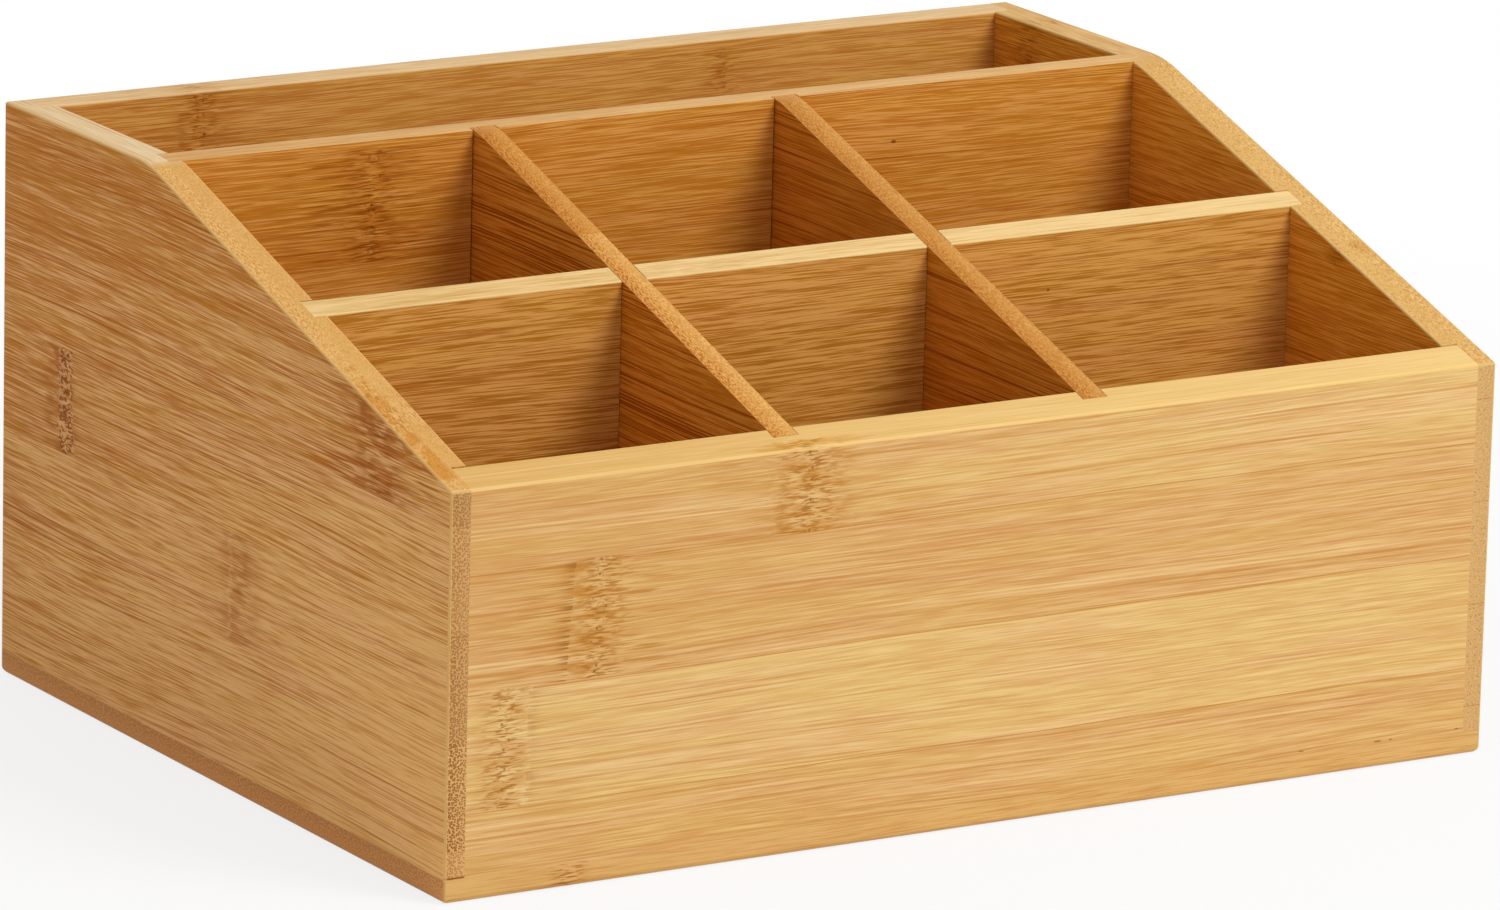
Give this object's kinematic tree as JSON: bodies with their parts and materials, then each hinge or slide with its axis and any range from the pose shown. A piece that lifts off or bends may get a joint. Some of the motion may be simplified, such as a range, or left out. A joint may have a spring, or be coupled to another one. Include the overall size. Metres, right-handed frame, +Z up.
{
  "type": "mail sorter",
  "caption": "Bamboo desk mail sorter: a full-width letter slot along the tall back, and two rows of open compartments under tops that slope down to the front.",
  "frame": {"origin": "on the surface it stands on, under the middle of the base board", "axes": "+Z up; the low front faces -Y and the letter slot lies along the +Y side; +X is to the right seen from the front, on the side of the widest column"},
  "size_m": [0.305, 0.235, 0.152],
  "materials": {
    "base_bamboo": "clear satin lacquer",
    "side_bamboo": "clear satin lacquer",
    "front_bamboo": "clear satin lacquer",
    "back_bamboo": "clear satin lacquer",
    "cross_divider_bamboo": "clear satin lacquer",
    "column_divider_bamboo": "clear satin lacquer"
  },
  "bodies": {
    "root": {"base_board": "base_bamboo", "left_side_panel": "side_bamboo", "right_side_panel": "side_bamboo", "front_panel": "front_bamboo", "back_panel": "back_bamboo", "middle_cross_divider": "cross_divider_bamboo", "rear_cross_divider": "cross_divider_bamboo", "left_column_divider": "column_divider_bamboo", "right_column_divider": "column_divider_bamboo"}
  },
  "joints": []
}
